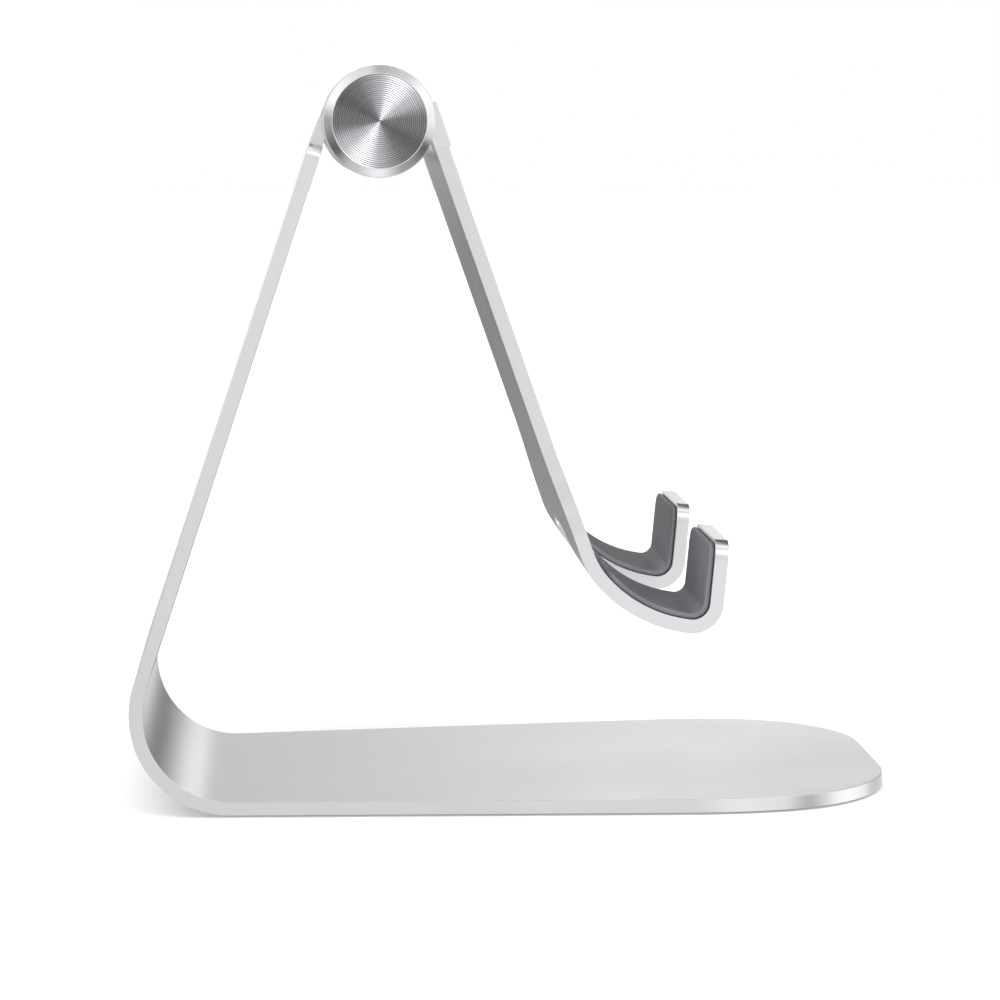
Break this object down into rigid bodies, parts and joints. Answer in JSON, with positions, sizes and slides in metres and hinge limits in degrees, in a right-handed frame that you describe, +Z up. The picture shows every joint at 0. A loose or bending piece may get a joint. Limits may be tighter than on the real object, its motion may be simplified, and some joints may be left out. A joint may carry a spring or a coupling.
{
  "type": "phone stand",
  "caption": "Desk stand for a phone: a bent plate base, a friction hinge with round end caps, and a tilting arm that ends in padded hooks.",
  "frame": {"origin": "middle of the footprint, on the surface that the stand rests on", "axes": "+X to the front, where the phone faces; +Z up; the hinge axis is parallel to Y"},
  "size_m": [0.1256, 0.0758, 0.1206],
  "materials": {
    "satin_aluminium": "fine bead-blasted, anodised silver",
    "polished_rim": "diamond-cut, polished",
    "turned_disc": "concentric turned grooves",
    "silicone": "matte silicone",
    "machined_steel": "machined",
    "black_steel": "black oxide",
    "bronze": "plain bearing bronze"
  },
  "bodies": {
    "base": {"base_frame": "satin_aluminium", "foot_pad": "silicone", "hinge_shaft": "machined_steel", "shaft_set_screws": "black_steel", "friction_washer_left": "bronze", "friction_washer_right": "bronze", "thrust_washer_left": "machined_steel", "thrust_washer_right": "machined_steel", "disc_springs_left": "black_steel", "disc_springs_right": "black_steel", "pressure_washer_left": "machined_steel", "pressure_washer_right": "machined_steel", "lock_nut_left": "machined_steel", "lock_nut_right": "machined_steel"},
    "arm": {"arm_frame": "satin_aluminium", "arm_bush_left": "bronze", "arm_bush_right": "bronze", "end_cap_left": "polished_rim", "end_cap_right": "polished_rim", "cap_disc_left": "turned_disc", "cap_disc_right": "turned_disc", "hook_pad_left": "silicone", "hook_pad_right": "silicone"}
  },
  "joints": [
    {"name": "arm_tilt", "type": "hinge", "parent": "base", "child": "arm", "pos_m": [-0.02124, 0, 0.11165], "axis": [0, -1, 0], "range_deg": [-45, 200]}
  ]
}
